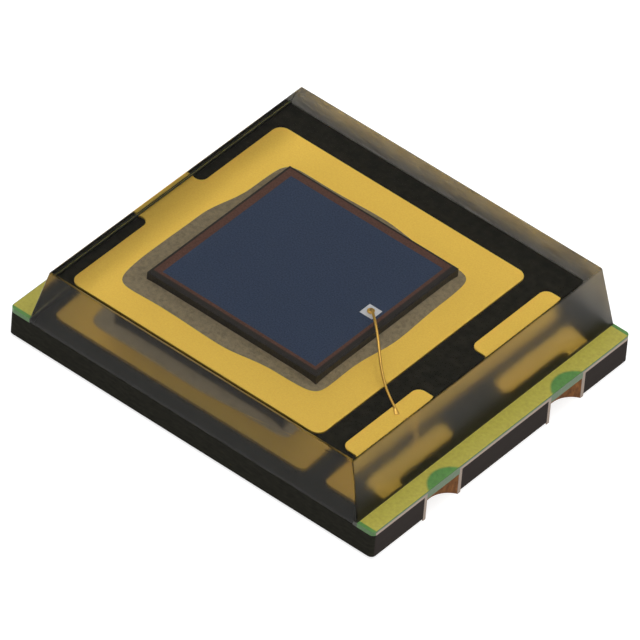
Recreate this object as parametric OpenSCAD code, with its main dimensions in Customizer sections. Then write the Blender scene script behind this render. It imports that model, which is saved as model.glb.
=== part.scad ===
// Top-looking photodiode: a silicon die on a small black circuit board, moulded in clear epoxy.
// Millimetres. X runs from the cathode end to the anode end, Y across the part and Z up.
// The origin is the middle of the footprint, on the plane that the solder pads rest on.

/* [Board] */
// Length of the board, along X
board_length = 5.0; // [4.8:0.05:6]
// Width of the board and of the clear block's foot, along Y
board_width = 4.24; // [4.1:0.02:5]
// Thickness of the black laminate
core_thickness = 0.3; // [0.15:0.01:0.45]
// Rounding of the board's upright corners
corner_radius = 0.06; // [0.02:0.01:0.2]

/* [Conductors] */
// Thickness of each gold-plated copper layer
foil_thickness = 0.035; // [0.02:0.005:0.07]
// Distance of the etched and drilled pattern from the middle of the sawn board, along Y
pattern_shift = 0.04; // [-0.08:0.01:0.08]
// Bare laminate between an end land and each side of the board
side_margin = 0.04; // [0.02:0.01:0.2]
// Width of the die paddle, along Y
paddle_width = 3.44; // [3.1:0.02:3.8]
// Rounding of the paddle's corners
paddle_corner_radius = 0.12; // [0.04:0.01:0.3]
// Width of the neck that joins the paddle to the cathode land
cathode_neck_width = 0.86; // [0.4:0.01:1.6]
// Bare slot between the paddle and the cathode land
cathode_slot_width = 0.18; // [0.1:0.005:0.25]
// Bare gap between the paddle and the anode fingers
paddle_gap = 0.265; // [0.15:0.005:0.4]
// Size of each anode finger, along X
finger_width = 0.395; // [0.28:0.005:0.5]
// Size of each anode finger, along Y
finger_length = 1.25; // [0.8:0.01:1.4]
// Clear distance between the two anode fingers
finger_spacing = 0.86; // [0.5:0.01:1.2]
// Rounding of the fingers' corners
finger_corner_radius = 0.1; // [0.03:0.01:0.13]
// Width of the neck that joins each finger to the anode land
anode_neck_width = 0.3; // [0.15:0.01:0.5]
// Bare slot between the fingers and the anode land
anode_slot_width = 0.235; // [0.1:0.005:0.3]

/* [Plated half holes] */
// Finished radius of each half hole
hole_radius = 0.29; // [0.2:0.01:0.33]
// Thickness of the copper on the hole's wall
plating_thickness = 0.04; // [0.02:0.005:0.06]
// How far the hole's centre lies beyond the sawn end of the board
hole_outset = 0.12; // [0.08:0.01:0.18]
// Distance between the two half holes of one end
hole_spacing = 2.04; // [1.4:0.02:2.5]

/* [Solder pads] */
// Length of each pad on the underside, along X
solder_pad_length = 0.95; // [0.5:0.01:1.6]
// Bare laminate between a solder pad and each side of the board
solder_pad_margin = 0.12; // [0.09:0.01:0.3]
// Bare laminate between a solder pad and the sawn end of the board
solder_pad_setback = 0.05; // [0.02:0.01:0.1]
// Rounding of a solder pad's corners
solder_pad_corner_radius = 0.12; // [0.05:0.01:0.2]

/* [Resist film] */
// Thickness of the green film over an end land
film_thickness = 0.02; // [0.01:0.005:0.04]
// How far the film reaches under the clear block
film_lap = 0.015; // [0.005:0.005:0.05]
// How far the film reaches past the inner edge of an end land
film_cover = 0.04; // [0.01:0.005:0.05]
// Thickness of the film where it bridges a half hole
tent_thickness = 0.1; // [0.04:0.005:0.14]

/* [Die] */
// Side of the square die
die_size = 2.33; // [2.3:0.01:2.6]
// Thickness of the die
die_thickness = 0.24; // [0.15:0.01:0.4]
// Distance of the die's middle from the paddle's middle, towards the anode
die_shift = 0.04; // [-0.08:0.01:0.08]
// Side of the blue light-sensitive window
window_size = 2.1; // [1.4:0.01:2.12]
// Width of the oxide border round the window
border_width = 0.09; // [0.03:0.01:0.1]
// Thickness of the window's coating and of the border
layer_thickness = 0.004; // [0.003:0.001:0.01]
// Side of the square aluminium bond pad
bond_pad_size = 0.17; // [0.12:0.01:0.3]
// Distance of the bond pad from the window's anode edge
bond_pad_inset = 0.035; // [0.01:0.005:0.2]
// Thickness of the bond pad
bond_pad_thickness = 0.006; // [0.004:0.001:0.012]

/* [Die attach] */
// Thickness of the silver epoxy under the die
bond_line = 0.02; // [0.01:0.005:0.05]
// Mean width of the epoxy squeezed out round the die
attach_spread = 0.18; // [0.12:0.01:0.18]
// How uneven the squeeze-out's outline is, from 0 for an even width
attach_unevenness = 1; // [0:0.1:1]
// How far the epoxy climbs the die's walls
attach_climb = 0.09; // [0.06:0.01:0.14]

/* [Bond wire] */
// Diameter of the gold wire
wire_diameter = 0.03; // [0.02:0.005:0.05]
// Diameter of the ball on the bond pad
ball_diameter = 0.085; // [0.07:0.005:0.11]
// Height of the ball
ball_height = 0.045; // [0.03:0.005:0.06]
// How far the loop's handle rises above the ball
loop_rise = 0.22; // [0.1:0.01:0.28]
// Height of the loop's second handle above the ball
loop_shoulder = 0.03; // [0:0.01:0.1]
// How far the wire bows sideways on its way down
wire_sway = 0.06; // [0:0.01:0.1]
// Distance of the stitch from the finger's edge that faces the die
stitch_inset = 0.075; // [0.07:0.005:0.2]
// Distance of the stitch from the finger's inner end
stitch_offset = 0.45; // [0.2:0.01:0.7]
// Length of the flattened stitch
stitch_length = 0.1; // [0.06:0.01:0.14]

/* [Clear block] */
// Height of the whole part
total_height = 1.12; // [1.05:0.01:1.6]
// Mean length of board left bare by the block at its two ends
ledge = 0.25; // [0.24:0.01:0.45]
// Distance of the block from the middle of the sawn board, along X
block_shift = 0.02; // [-0.03:0.005:0.03]
// Draft angle of the two moulded end walls
end_draft = 13.5; // [0:0.5:16]
// Draft angle of the block's two long sides
side_draft = 5; // [0:0.5:8]
// Rounding of the block's top edges at the end walls
edge_radius = 0.03; // [0.01:0.01:0.1]

/* [Hidden] */
$fn = 64;
CATHODE = -1;
ANODE = 1;
FRONT = -1;
REAR = 1;
overlap = 0.05;

// Heights of the layers
core_bottom = foil_thickness;
core_top = core_bottom + core_thickness;
foil_top = core_top + foil_thickness;
film_top = foil_top + film_thickness;
die_bottom = foil_top + bond_line;
die_top = die_bottom + die_thickness;
layer_top = die_top + layer_thickness;
bond_pad_top = layer_top + bond_pad_thickness;

// Places along X
board_end = board_length / 2;
film_length = ledge + abs(block_shift) + film_lap;
land_length = film_length - film_cover;
land_inner = board_end - land_length;
cathode_slot_x = -land_inner + cathode_slot_width / 2;
paddle_left = -land_inner + cathode_slot_width;
anode_slot_x = land_inner - anode_slot_width / 2;
finger_right = land_inner - anode_slot_width;
finger_x = finger_right - finger_width / 2;
paddle_right = finger_right - finger_width - paddle_gap;
paddle_x = (paddle_left + paddle_right) / 2;
die_x = paddle_x + die_shift;
bond_pad_x = die_x + window_size / 2 - bond_pad_inset - bond_pad_size / 2;
hole_x = board_end + hole_outset;

// Places along Y, from the middle of the pattern
finger_y = (finger_spacing + finger_length) / 2;
finger_outer = finger_spacing / 2 + finger_length;
drill_radius = hole_radius + plating_thickness;

// Bond wire: from the ball on the die to the stitch on the front finger, in one upright plane
stitch_x = finger_right - finger_width + stitch_inset;
stitch_y = -(finger_spacing / 2 + stitch_offset);
wire_run = norm([stitch_x - bond_pad_x, stitch_y]) - stitch_length / 2;
wire_heading = atan2(stitch_y, stitch_x - bond_pad_x);
wire_start = [bond_pad_x, pattern_shift, 0];
wire_ahead = [cos(wire_heading), sin(wire_heading), 0];
wire_side = [-sin(wire_heading), cos(wire_heading), 0];
wire_facets = 10;
wire_steps = 22;
ball_top = bond_pad_top + ball_height;
stitch_height = wire_diameter / 3;

// Ball, from the bond pad up: share of its height and share of its radius
ball_profile = [[0, 0.78], [0.25, 1], [0.65, 1], [0.92, 0.72]];
// Handles of the loop along the wire's run, as shares of it
loop_handles = [0.08, 0.6];
// Stitch, along its length: share of that, and its half width and half height as shares of the wire's
tail_profile = [[0.35, 1.5, 1], [0.7, 1.9, 0.8], [1, 1.6, 0.5]];

// Die attach: an outline that runs round the square die
attach_points = 96;
attach_squareness = 16;
// Its slope, from its foot to the die: share of its width and share of its climb
attach_profile = [[1, 0], [0.85, 0.3], [0.45, 0.62], [0.1, 1]];
// Its width in equal steps round the die, from the anode side by way of the rear, as shares of the mean
attach_shares = [0.9, 0.75, 0.55, 0.9, 0.75, 0.85, 1.5, 1.55, 1.1, 1.2, 0.7, 0.5];

// Plan shapes

module rounded_rectangle(length, width, radius) {
    square([length - 2 * radius, width], center = true);
    square([length, width - 2 * radius], center = true);
    for (x = [-1, 1], y = [-1, 1])
        translate([x * (length / 2 - radius), y * (width / 2 - radius)]) circle(r = radius);
}

module board_plan() {
    rounded_rectangle(board_length, board_width, corner_radius);
}

module holes_plan(radius) {
    for (end = [CATHODE, ANODE], side = [FRONT, REAR])
        translate([end * hole_x, pattern_shift + side * hole_spacing / 2]) circle(r = radius);
}

// A strip across one end of the board, clipped to the board's outline
module end_strip_plan(end, length, margin) {
    intersection() {
        board_plan();
        translate([end * (board_end - length / 2 + overlap / 2), 0])
            square([length + overlap, board_width - 2 * margin], center = true);
    }
}

// A slot along Y with round ends
module slot_plan(width, length) {
    square([width, length - width], center = true);
    for (side = [FRONT, REAR]) translate([0, side * (length - width) / 2]) circle(d = width);
}

module cathode_pattern() {
    bar_length = board_width - cathode_neck_width / 2;
    difference() {
        union() {
            end_strip_plan(CATHODE, land_length, side_margin);
            translate([paddle_x, pattern_shift])
                rounded_rectangle(paddle_right - paddle_left, paddle_width, paddle_corner_radius);
            translate([cathode_slot_x, pattern_shift])
                square([cathode_slot_width + 2 * overlap, cathode_neck_width + cathode_slot_width],
                       center = true);
        }
        for (side = [FRONT, REAR])
            translate([cathode_slot_x, pattern_shift + side * (cathode_neck_width + bar_length) / 2])
                slot_plan(cathode_slot_width, bar_length);
    }
}

module anode_pattern() {
    neck_width = anode_neck_width + anode_slot_width / 2;
    neck_length = board_end - land_length / 2 - finger_x;
    neck_y = finger_outer - neck_width / 2;
    difference() {
        union() {
            end_strip_plan(ANODE, land_length, side_margin);
            for (side = [FRONT, REAR]) {
                translate([finger_x, pattern_shift + side * finger_y])
                    rounded_rectangle(finger_width, finger_length, finger_corner_radius);
                translate([finger_x + neck_length / 2, pattern_shift + side * neck_y])
                    square([neck_length, neck_width], center = true);
            }
        }
        translate([anode_slot_x, pattern_shift])
            slot_plan(anode_slot_width, 2 * (finger_outer - anode_neck_width));
    }
}

// Etched conductor of one end, before its holes are drilled
module pattern_plan(end) {
    if (end == CATHODE) cathode_pattern();
    else anode_pattern();
}

// Solids inside the clear block and under it

module foil_solid(end) {
    translate([0, 0, core_top]) linear_extrude(foil_thickness) difference() {
        pattern_plan(end);
        holes_plan(drill_radius);
    }
}

// Copper on the wall of one half hole, through the board from face to face
module plating_solid(end, side) {
    linear_extrude(foil_top) intersection() {
        board_plan();
        translate([end * hole_x, pattern_shift + side * hole_spacing / 2]) difference() {
            circle(r = drill_radius);
            circle(r = hole_radius);
        }
    }
}

// Film over one end land: a thin layer, a fill round the land and a thicker tent over each half hole
module film_solid(end) {
    translate([0, 0, foil_top]) linear_extrude(film_thickness) end_strip_plan(end, film_length, 0);
    translate([0, 0, core_top]) linear_extrude(film_top - core_top) difference() {
        end_strip_plan(end, film_length, 0);
        pattern_plan(end);
    }
    translate([0, 0, film_top - tent_thickness]) linear_extrude(tent_thickness) intersection() {
        end_strip_plan(end, film_length, 0);
        holes_plan(hole_radius);
    }
}

module die_solid() {
    translate([die_x, pattern_shift, die_bottom + die_thickness / 2])
        cube([die_size, die_size, die_thickness], center = true);
}

module window_solid() {
    translate([die_x, pattern_shift, die_top + layer_thickness / 2])
        cube([window_size, window_size, layer_thickness], center = true);
}

module border_solid() {
    outer_size = window_size + 2 * border_width;
    translate([die_x, pattern_shift, die_top]) linear_extrude(layer_thickness) difference() {
        square(outer_size, center = true);
        square(window_size, center = true);
    }
}

module bond_pad_solid() {
    translate([bond_pad_x, pattern_shift, layer_top + bond_pad_thickness / 2])
        cube([bond_pad_size, bond_pad_size, bond_pad_thickness], center = true);
}

// A skin over a list of closed rings with equal numbers of points, capped at both ends
module ring_skin(rings) {
    sides = len(rings[0]);
    last = len(rings) - 1;
    polyhedron(
        points = [for (ring = rings) each ring],
        faces = concat(
            [[for (j = [0 : sides - 1]) j]],
            [for (i = [0 : last - 1], j = [0 : sides - 1])
                let (k = (j + 1) % sides)
                each [[i * sides + j, (i + 1) * sides + j, (i + 1) * sides + k],
                      [i * sides + j, (i + 1) * sides + k, i * sides + k]]],
            [[for (j = [sides - 1 : -1 : 0]) last * sides + j]]
        )
    );
}

// Squeeze-out width at one bearing from the die's middle, eased from one step to the next
function attach_width(bearing) =
    let (
        steps = len(attach_shares),
        place = bearing * steps / 360,
        before = attach_shares[floor(place) % steps],
        after = attach_shares[(floor(place) + 1) % steps],
        share = before + (after - before) * (1 - cos(180 * (place - floor(place)))) / 2
    )
    attach_spread * (1 + attach_unevenness * (share - 1));

// A rounded square round the die, set out from it by a share of the squeeze-out's width
function attach_ring(share, height) = [
    for (i = [0 : attach_points - 1])
        let (
            bearing = 360 * i / attach_points,
            half = die_size / 2 + share * attach_width(bearing),
            power = attach_squareness,
            square_up = pow(pow(abs(cos(bearing)), power) + pow(abs(sin(bearing)), power), -1 / power)
        )
        [die_x, pattern_shift, height] + half * square_up * [cos(bearing), sin(bearing), 0]
];

// The squeeze-out with the die still in it. Its foot reaches below the paddle's top by the given depth
module attach_skin(foot = 0) {
    ring_skin(concat(
        foot > 0 ? [attach_ring(1, foil_top - foot)] : [],
        [for (p = attach_profile) attach_ring(p[0], foil_top + p[1] * attach_climb)]
    ));
}

module die_attach_solid() {
    difference() {
        attach_skin();
        die_solid();
    }
}

function cubic(a, b, c, d, t) =
    pow(1 - t, 3) * a + 3 * pow(1 - t, 2) * t * b + 3 * (1 - t) * t * t * c + t * t * t * d;

// Middle of the wire at t: out from the ball, over the loop and down, bowed to one side
function wire_point(t) =
    let (
        out = cubic(0, loop_handles[0], loop_handles[1], 1, t) * wire_run,
        landing = foil_top + stitch_height,
        height = cubic(ball_top, ball_top + loop_rise, ball_top + loop_shoulder, landing, t),
        bow = wire_sway * sin(180 * pow(out / wire_run, 2))
    )
    wire_start + [0, 0, height] + out * wire_ahead - bow * wire_side;

// A ring round a point of the wire, across its direction
function wire_ring(middle, direction, half_width, half_height) =
    let (raise = cross(direction, wire_side))
    [for (j = [0 : wire_facets - 1])
        let (a = 360 * j / wire_facets)
        middle + half_width * cos(a) * wire_side + half_height * sin(a) * raise];

// Ball, loop and flattened stitch in one skin. Its foot reaches into the bond pad by the given depth
module wire_skin(foot = 0) {
    radius = wire_diameter / 2;
    step = 1 / wire_steps;
    ball_rings = [for (p = ball_profile) [p[0] * ball_height, p[1] * ball_diameter / 2]];
    ring_skin(concat(
        [for (p = concat(foot > 0 ? [[-foot, ball_rings[0][1]]] : [], ball_rings))
            wire_ring(wire_start + [0, 0, bond_pad_top + p[0]], [0, 0, 1], p[1], p[1])],
        [for (i = [0 : wire_steps - 1])
            let (
                t = i * step,
                along = wire_point(t + step / 2) - wire_point(max(t - step / 2, 0))
            )
            wire_ring(wire_point(t), along / norm(along), radius, radius)],
        [for (s = tail_profile)
            wire_ring(wire_point(1) + s[0] * stitch_length * wire_ahead - [0, 0, stitch_height / 2],
                      wire_ahead, s[1] * radius, s[2] * stitch_height)]
    ));
}

// The wire, trimmed flat where its stitch meets the finger
module bond_wire_solid() {
    intersection() {
        wire_skin();
        translate([0, 0, foil_top]) linear_extrude(total_height - foil_top) board_plan();
    }
}

// Cross-section of the clear block along Y: flush with the board at its foot, then leaning in
module side_profile() {
    half_foot = board_width / 2;
    rise = total_height + overlap - film_top;
    half_top = half_foot - rise * tan(side_draft);
    polygon([
        [-half_foot, core_top - overlap], [half_foot, core_top - overlap], [half_foot, film_top],
        [half_top, film_top + rise], [-half_top, film_top + rise], [-half_foot, film_top]
    ]);
}

// Section of the clear block along X: an upright foot in the film, drafted end walls, rounded top edges
module end_profile() {
    base_end = board_end - ledge;
    round_z = total_height - edge_radius;
    wall_reach = base_end * cos(end_draft) + film_top * sin(end_draft);
    round_x = (wall_reach - edge_radius - round_z * sin(end_draft)) / cos(end_draft);
    tangent = [round_x + edge_radius * cos(end_draft), round_z + edge_radius * sin(end_draft)];
    half = [[base_end, core_top], [base_end, film_top], tangent, [round_x, total_height]];
    polygon(concat(half, [for (i = [len(half) - 1 : -1 : 0]) [-half[i].x, half[i].y]]));
    for (end = [CATHODE, ANODE]) translate([end * round_x, round_z]) circle(r = edge_radius);
}

// The clear block before the pieces inside it are taken away
module moulded_block() {
    intersection() {
        translate([block_shift, 0, 0])
            rotate([90, 0, 0]) linear_extrude(board_width + 2 * overlap, center = true) end_profile();
        rotate([90, 0, 90]) linear_extrude(board_length, center = true) side_profile();
    }
}

// Sub-parts

module board_core() {
    color([0.09, 0.09, 0.1]) translate([0, 0, core_bottom]) linear_extrude(core_thickness) difference() {
        board_plan();
        holes_plan(drill_radius);
    }
}

module cathode_foil() {
    color([0.84, 0.68, 0.28]) foil_solid(CATHODE);
}

module anode_foil() {
    color([0.84, 0.68, 0.28]) foil_solid(ANODE);
}

module hole_plating(end, side) {
    color([0.72, 0.5, 0.26]) plating_solid(end, side);
}

module cathode_plating_front() {
    hole_plating(CATHODE, FRONT);
}

module cathode_plating_rear() {
    hole_plating(CATHODE, REAR);
}

module anode_plating_front() {
    hole_plating(ANODE, FRONT);
}

module anode_plating_rear() {
    hole_plating(ANODE, REAR);
}

// Gold-plated pad under one end of the board
module solder_pad(end) {
    pad_x = board_end - solder_pad_setback - solder_pad_length / 2;
    pad_width = board_width - 2 * solder_pad_margin;
    color([0.84, 0.68, 0.28]) linear_extrude(foil_thickness) difference() {
        translate([end * pad_x, pattern_shift])
            rounded_rectangle(solder_pad_length, pad_width, solder_pad_corner_radius);
        holes_plan(drill_radius);
    }
}

module cathode_solder_pad() {
    solder_pad(CATHODE);
}

module anode_solder_pad() {
    solder_pad(ANODE);
}

module cathode_film() {
    color([0.4, 0.6, 0.3, 0.6]) film_solid(CATHODE);
}

module anode_film() {
    color([0.4, 0.6, 0.3, 0.6]) film_solid(ANODE);
}

module die_attach() {
    color([0.6, 0.57, 0.48]) die_attach_solid();
}

module silicon_die() {
    color([0.17, 0.16, 0.17]) die_solid();
}

module oxide_border() {
    color([0.38, 0.26, 0.26]) border_solid();
}

module window_coating() {
    color([0.2, 0.26, 0.38]) window_solid();
}

module bond_pad() {
    color([0.86, 0.86, 0.85]) bond_pad_solid();
}

module bond_wire() {
    color([0.93, 0.72, 0.3]) bond_wire_solid();
}

// The clear block moulded over the board, with no die in it yet
module block_over_board() {
    difference() {
        moulded_block();
        foil_solid(CATHODE);
        foil_solid(ANODE);
        film_solid(CATHODE);
        film_solid(ANODE);
    }
}

// The same block with room for the die, its squeeze-out and the layers on its top
module block_over_die() {
    layers_size = window_size + 2 * border_width;
    difference() {
        difference() {
            block_over_board();
            attach_skin(foil_thickness / 2);
        }
        union() {
            die_solid();
            translate([die_x, pattern_shift, die_top])
                cube([layers_size, layers_size, 2 * layer_thickness], center = true);
            translate([bond_pad_x, pattern_shift, die_top])
                cube([bond_pad_size, bond_pad_size, 2 * (bond_pad_top - die_top)], center = true);
        }
    }
}

module encapsulant() {
    color([0.85, 0.82, 0.72, 0.3]) difference() {
        block_over_die();
        wire_skin(bond_pad_thickness / 2);
    }
}

board_core();
cathode_foil();
anode_foil();
cathode_plating_front();
cathode_plating_rear();
anode_plating_front();
anode_plating_rear();
cathode_solder_pad();
anode_solder_pad();
cathode_film();
anode_film();
die_attach();
silicon_die();
oxide_border();
window_coating();
bond_pad();
bond_wire();
encapsulant();
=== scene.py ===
import math

import bpy
import numpy as np
from bpy.props import FloatProperty, FloatVectorProperty, IntProperty, PointerProperty
from mathutils import Matrix, Vector


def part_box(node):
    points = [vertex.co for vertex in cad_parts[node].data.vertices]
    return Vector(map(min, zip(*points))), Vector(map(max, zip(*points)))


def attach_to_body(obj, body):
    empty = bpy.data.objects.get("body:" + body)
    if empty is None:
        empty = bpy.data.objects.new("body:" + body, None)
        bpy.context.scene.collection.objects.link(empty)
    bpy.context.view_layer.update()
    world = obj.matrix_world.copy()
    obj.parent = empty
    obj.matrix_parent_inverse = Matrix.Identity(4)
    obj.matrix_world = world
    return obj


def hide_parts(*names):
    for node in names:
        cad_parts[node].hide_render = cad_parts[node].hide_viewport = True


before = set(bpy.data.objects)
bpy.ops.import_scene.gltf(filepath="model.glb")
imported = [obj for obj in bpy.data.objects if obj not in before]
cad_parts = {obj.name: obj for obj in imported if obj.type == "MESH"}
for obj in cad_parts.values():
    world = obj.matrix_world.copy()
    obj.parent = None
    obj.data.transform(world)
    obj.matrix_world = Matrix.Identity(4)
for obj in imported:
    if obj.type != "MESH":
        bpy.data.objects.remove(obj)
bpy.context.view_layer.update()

bl_info = {
    "name": "Clear Moulded Photodiode",
    "version": (1, 0, 0),
    "blender": (4, 5, 0),
    "location": "View3D > Sidebar > Photodiode",
    "description": "Dresses a packed photodiode: clear block, bond wire, die, conductors, film and stage",
    "category": "Object",
}

MM = 0.001
BLACK = (0.0, 0.0, 0.0, 1.0)
WHITE = (1.0, 1.0, 1.0, 1.0)
# Width of the camera's sensor in millimetres
SENSOR_WIDTH = 36.0


def corners(node):
    """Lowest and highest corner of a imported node, as arrays in metres."""
    low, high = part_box(node)
    return np.array(low), np.array(high)


CORE_HIGH = corners("board_core")[1]
FOIL_HIGH = corners("anode_foil")[1]
FILM_HIGH = corners("anode_film")[1]
BORDER_HIGH = corners("oxide_border")[1]
BLOCK_LOW, BLOCK_HIGH = corners("encapsulant")
DIE_LOW, DIE_HIGH = corners("silicon_die")
PAD_LOW, PAD_HIGH = corners("bond_pad")
PLATING_LOW, PLATING_HIGH = corners("anode_plating_front")
REAR_LOW, REAR_HIGH = corners("anode_plating_rear")
WINDOW_LOW, WINDOW_HIGH = corners("window_coating")

# Middle of the clear block and half its length, along X
BLOCK_X = (BLOCK_LOW[0] + BLOCK_HIGH[0]) / 2
BLOCK_HALF = (BLOCK_HIGH[0] - BLOCK_LOW[0]) / 2

# A half hole's drilled circle, from the chord and the depth that its plating's box shows
HOLE_CHORD = (PLATING_HIGH[1] - PLATING_LOW[1]) / 2
HOLE_DEPTH = PLATING_HIGH[0] - PLATING_LOW[0]
HOLE_RADIUS = (HOLE_CHORD ** 2 + HOLE_DEPTH ** 2) / (2 * HOLE_DEPTH)
HOLE_X = PLATING_LOW[0] + HOLE_RADIUS
HOLE_Y = (REAR_LOW[1] + REAR_HIGH[1] - PLATING_LOW[1] - PLATING_HIGH[1]) / 4
PATTERN_Y = (REAR_LOW[1] + REAR_HIGH[1] + PLATING_LOW[1] + PLATING_HIGH[1]) / 4


# Settings

class PhotodiodeBlock(bpy.types.PropertyGroup):
    """Sizes and finish of the clear block."""

    end_draft: FloatProperty(
        name="End Draft", description="Lean of the two moulded end walls",
        default=math.radians(13.5), subtype="ANGLE")
    side_draft: FloatProperty(
        name="Side Draft", description="Lean of the two long sides",
        default=math.radians(5.0), subtype="ANGLE")
    top_radius: FloatProperty(
        name="Top Radius", description="Rounding of the top edges at the end walls",
        default=0.03 * MM, subtype="DISTANCE", unit="LENGTH")
    side_radius: FloatProperty(
        name="Side Edge", description="Rounding of the edges of the long sides",
        default=0.015 * MM, subtype="DISTANCE", unit="LENGTH")
    side_inset: FloatProperty(
        name="Side Inset", description="How far the block's foot stays inside the board's sides",
        default=0.002 * MM, subtype="DISTANCE", unit="LENGTH")
    seat_depth: FloatProperty(
        name="Seat Depth", description="How far the block's underside lies inside the board's top",
        default=0.005 * MM, subtype="DISTANCE", unit="LENGTH")
    polish: FloatProperty(
        name="Top Roughness", description="Roughness of the polished top",
        default=0.03, min=0.0, max=1.0, subtype="FACTOR")
    anode_haze: FloatProperty(
        name="Anode Wall Roughness", description="Roughness of the end wall at the anode",
        default=0.34, min=0.0, max=1.0, subtype="FACTOR")
    cathode_haze: FloatProperty(
        name="Cathode Wall Roughness", description="Roughness of the end wall at the cathode",
        default=0.1, min=0.0, max=1.0, subtype="FACTOR")
    front_haze: FloatProperty(
        name="Front Roughness", description="Roughness of the front long side",
        default=0.18, min=0.0, max=1.0, subtype="FACTOR")
    rear_haze: FloatProperty(
        name="Rear Roughness", description="Roughness of the rear long side",
        default=0.55, min=0.0, max=1.0, subtype="FACTOR")
    edge_haze: FloatProperty(
        name="Edge Roughness", description="Roughness of the rounded top edges of the long sides",
        default=0.6, min=0.0, max=1.0, subtype="FACTOR")
    # Painted shade: the end walls' share of the dark tint that stands for the shade on the long sides
    end_shade: FloatProperty(
        name="End Wall Shade", description="Share of the long sides' smoke on the end walls",
        default=0.4, min=0.0, max=1.0, subtype="FACTOR")
    glare: FloatProperty(
        name="Glare", description="Strength of the mirror image on the block, 1 for bare epoxy",
        default=0.0, min=0.0, max=1.0, subtype="FACTOR")


class PhotodiodeWire(bpy.types.PropertyGroup):
    """Sizes of the bond wire."""

    diameter: FloatProperty(
        name="Diameter", description="Diameter of the wire",
        default=0.03 * MM, subtype="DISTANCE", unit="LENGTH")
    ball_diameter: FloatProperty(
        name="Ball Diameter", description="Diameter of the ball on the bond pad",
        default=0.085 * MM, subtype="DISTANCE", unit="LENGTH")
    ball_height: FloatProperty(
        name="Ball Height", description="Height of the ball on the bond pad",
        default=0.045 * MM, subtype="DISTANCE", unit="LENGTH")
    loop_rise: FloatProperty(
        name="Loop Rise", description="How far the loop's handle rises above the ball",
        default=0.22 * MM, subtype="DISTANCE", unit="LENGTH")
    loop_shoulder: FloatProperty(
        name="Loop Shoulder", description="Height of the loop's second handle above the ball",
        default=0.03 * MM, subtype="DISTANCE", unit="LENGTH")
    sway: FloatProperty(
        name="Sway", description="How far the wire bows sideways on its way down",
        default=0.06 * MM, subtype="DISTANCE", unit="LENGTH")
    stitch: FloatVectorProperty(
        name="Stitch", description="Place of the stitch on the front finger",
        default=(1.7 * MM, -0.84 * MM), size=2, subtype="XYZ", unit="LENGTH")
    stitch_length: FloatProperty(
        name="Stitch Length", description="Length of the flattened stitch",
        default=0.1 * MM, subtype="DISTANCE", unit="LENGTH")
    sides: IntProperty(
        name="Sides", description="Number of sides round the wire", default=24, min=8)


class PhotodiodeAttach(bpy.types.PropertyGroup):
    """Sizes of the silver epoxy squeezed out round the die."""

    spread: FloatProperty(
        name="Spread", description="Mean width of the squeeze-out",
        default=0.18 * MM, subtype="DISTANCE", unit="LENGTH")
    shares: FloatVectorProperty(
        name="Shares",
        description="Its width in equal steps round the die, from the anode side, as shares of the mean",
        default=(0.9, 0.75, 0.55, 0.9, 0.75, 0.85, 1.5, 1.55, 1.1, 1.2, 0.7, 0.5), size=12)
    climb: FloatProperty(
        name="Climb", description="How far it climbs the die's walls",
        default=0.09 * MM, subtype="DISTANCE", unit="LENGTH")


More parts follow.
